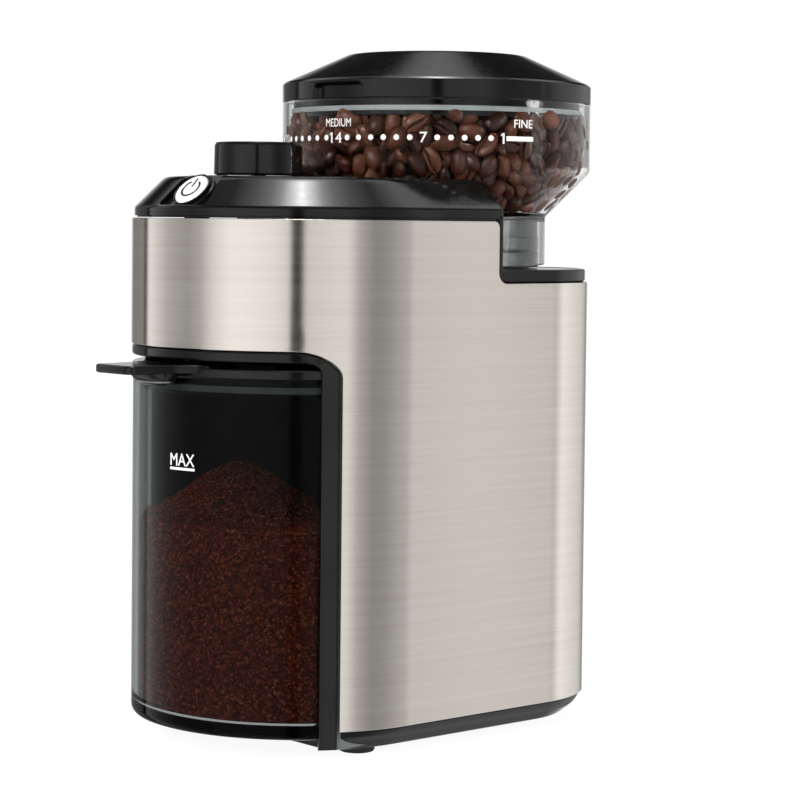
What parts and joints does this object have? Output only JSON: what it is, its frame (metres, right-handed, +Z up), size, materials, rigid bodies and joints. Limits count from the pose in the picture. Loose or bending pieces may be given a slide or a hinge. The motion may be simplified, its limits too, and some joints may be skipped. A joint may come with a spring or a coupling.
{
  "type": "burr coffee grinder",
  "caption": "Electric burr coffee grinder: tall D-shaped steel body, bean hopper over the rear that turns to set the grind, front pull-out grounds container with lid.",
  "frame": {"origin": "centre of the whole outline seen from above, on the surface the feet stand on", "axes": "+Z up, front of the machine (button, container handle) towards -Y, +X to the right of someone facing it"},
  "size_m": [0.1382, 0.2338, 0.2795],
  "materials": {
    "black_plastic": "fine moulded texture",
    "gloss_black": "high gloss",
    "brushed_steel": "fine horizontal brushing",
    "foot_rubber": "matt",
    "zinc_steel": "zinc plated",
    "white_plastic": "satin",
    "circuit_board": "solder mask",
    "copper_winding": "enamelled wire and laminations",
    "brass": "turned",
    "nylon": "natural",
    "burr_steel": "hardened, ground",
    "grey_plastic": "satin",
    "smoked_clear": "smoked transparent",
    "clear_plastic": "clear transparent",
    "silicone": "translucent"
  },
  "bodies": {
    "housing": {"base_pan": "black_plastic", "foot_front_left": "foot_rubber", "foot_front_right": "foot_rubber", "foot_rear_left": "foot_rubber", "foot_rear_right": "foot_rubber", "steel_wrap": "brushed_steel", "bay_liner": "black_plastic", "rear_cover": "black_plastic", "top_deck": "gloss_black", "cord_gland": "black_plastic", "base_screw_1": "zinc_steel", "base_screw_2": "zinc_steel", "base_screw_3": "zinc_steel", "base_screw_4": "zinc_steel", "rear_screw_1": "zinc_steel", "rear_screw_2": "zinc_steel", "button_ring": "gloss_black", "start_switch": "black_plastic", "timer_pot": "zinc_steel", "control_board": "circuit_board", "motor_shelf": "black_plastic", "motor_can": "zinc_steel", "motor_end_cap": "black_plastic", "motor_screw_1": "zinc_steel", "motor_screw_2": "zinc_steel", "gearbox_base": "black_plastic", "gearbox_cover": "black_plastic", "intermediate_axle": "zinc_steel", "gearbox_screw_1": "zinc_steel", "gearbox_screw_2": "zinc_steel", "gearbox_screw_3": "zinc_steel", "shaft_bush_lower": "brass", "shaft_bush_upper": "brass", "burr_chamber": "black_plastic", "chute": "black_plastic", "interlock_switch": "black_plastic"},
    "rotor": {"motor_rotor": "copper_winding", "motor_pinion": "brass"},
    "idler": {"intermediate_gear": "nylon"},
    "burr_drive": {"drive_gear": "nylon", "burr_shaft": "zinc_steel", "sweeper": "nylon", "inner_burr": "burr_steel", "burr_nut": "zinc_steel"},
    "carrier": {"burr_carrier": "grey_plastic", "outer_burr": "burr_steel"},
    "adjuster": {"adjust_ring": "grey_plastic"},
    "hopper": {"hopper": "clear_plastic"},
    "hopper_lid": {"hopper_lid": "gloss_black", "hopper_seal": "silicone"},
    "container": {"grounds_container": "smoked_clear", "container_lid": "gloss_black", "container_seal": "silicone"},
    "button": {"power_button": "white_plastic"},
    "knob": {"timer_knob": "gloss_black", "knob_shaft": "zinc_steel"},
    "interlock": {"interlock_plunger": "white_plastic"}
  },
  "joints": [
    {"name": "container_slide", "type": "slide", "parent": "housing", "child": "container", "axis": [0, -1, 0], "range_m": [0, 0.12]},
    {"name": "hopper_lift", "type": "slide", "parent": "adjuster", "child": "hopper", "axis": [0, 0, 1], "range_m": [0, 0.09]},
    {"name": "hopper_lid_lift", "type": "slide", "parent": "hopper", "child": "hopper_lid", "axis": [0, 0, 1], "range_m": [0, 0.05]},
    {"name": "grind_setting", "type": "hinge", "parent": "housing", "child": "adjuster", "pos_m": [0, 0.05095, 0.195], "axis": [0, 0, 1], "range_deg": [-72.45, 57.96]},
    {"name": "carrier_lift", "type": "slide", "parent": "housing", "child": "carrier", "axis": [0, 0, 1], "range_m": [-0.0007, 0.0006]},
    {"name": "knob_turn", "type": "hinge", "parent": "housing", "child": "knob", "pos_m": [0, -0.04545, 0.23], "axis": [0, 0, 1], "range_deg": [-135, 135]},
    {"name": "button_press", "type": "slide", "parent": "housing", "child": "button", "axis": [-0.0702, 0.7036, -0.7071], "range_m": [0, 0.0012], "stiffness_N_per_m": 300},
    {"name": "interlock_press", "type": "slide", "parent": "housing", "child": "interlock", "axis": [0, 1, 0], "range_m": [0, 0.0015], "stiffness_N_per_m": 150},
    {"name": "motor_spin", "type": "hinge", "parent": "housing", "child": "rotor", "pos_m": [0.002, 0.05095, 0.1], "axis": [0, 0, 1], "continuous": true},
    {"name": "idler_spin", "type": "hinge", "parent": "housing", "child": "idler", "pos_m": [0.026, 0.05095, 0.144], "axis": [0, 0, 1], "continuous": true},
    {"name": "burr_spin", "type": "hinge", "parent": "housing", "child": "burr_drive", "pos_m": [0, 0.05095, 0.165], "axis": [0, 0, 1], "continuous": true}
  ],
  "couplings": [
    {"joint": "idler_spin", "follows": "motor_spin", "ratio": -0.33333},
    {"joint": "burr_spin", "follows": "motor_spin", "ratio": 0.1},
    {"joint": "carrier_lift", "follows": "grind_setting", "m_per_rad": 0.000534}
  ]
}
